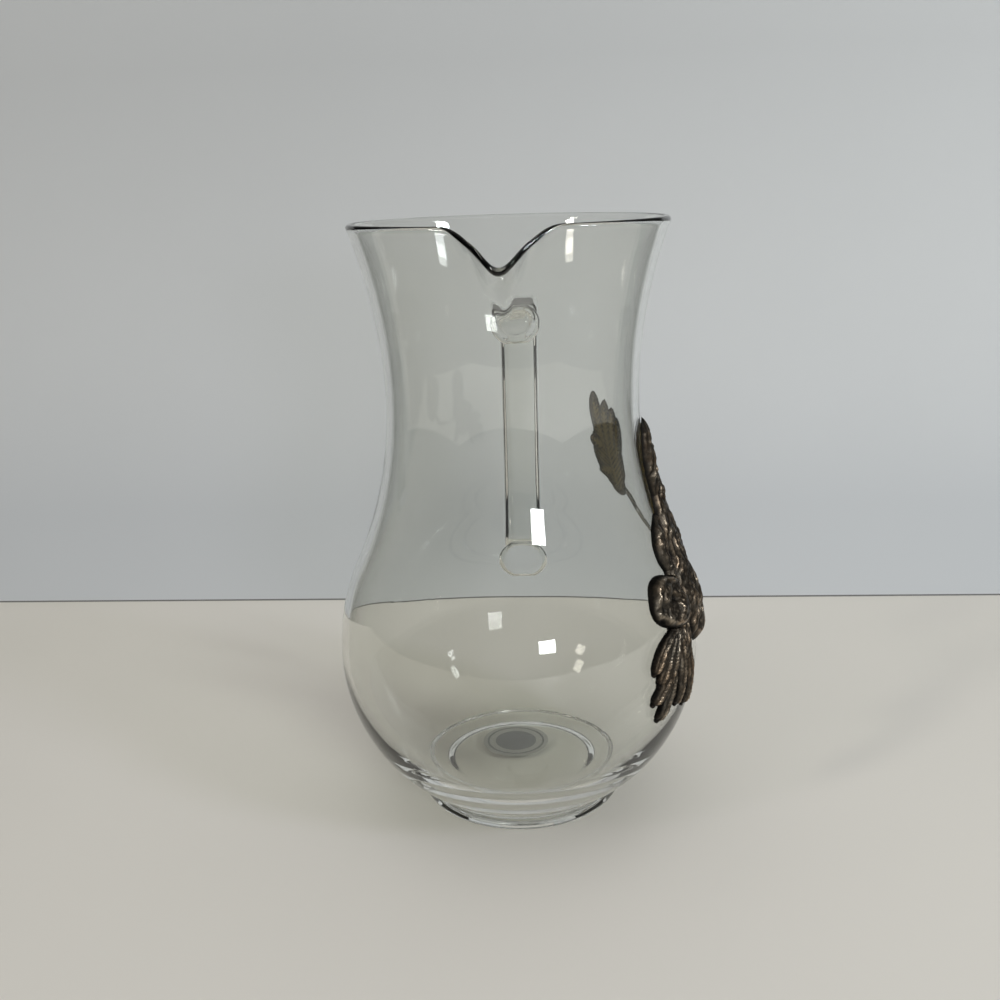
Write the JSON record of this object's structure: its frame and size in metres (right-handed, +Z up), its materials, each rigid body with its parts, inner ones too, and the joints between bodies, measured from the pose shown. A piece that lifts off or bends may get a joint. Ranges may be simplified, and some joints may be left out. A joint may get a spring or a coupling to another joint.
{
  "type": "glass pitcher",
  "caption": "Clear blown-glass pitcher with a pulled V spout, solid glass strap handle and a cast metal leaf-and-branch spray glued to its side.",
  "frame": {"origin": "on the vessel's axis, in the plane that the foot ring stands on", "axes": "+Z up along the vessel's axis, -Y towards the spout, +Y towards the handle, +X towards the cast spray"},
  "size_m": [0.1537, 0.171, 0.24],
  "materials": {
    "clear_glass": "fire-polished, clear",
    "cast_metal": "aged, dark patina with bright worn ridges",
    "glue": "cured, amber",
    "label_film": "thin printed film"
  },
  "bodies": {
    "root": {"glass_body": "clear_glass", "handle": "clear_glass", "branch": "cast_metal", "upper_leaf": "cast_metal", "side_bud": "cast_metal", "fruit": "cast_metal", "lower_leaf": "cast_metal", "stem_leaf": "cast_metal", "adhesive": "glue", "base_label": "label_film"}
  },
  "joints": []
}
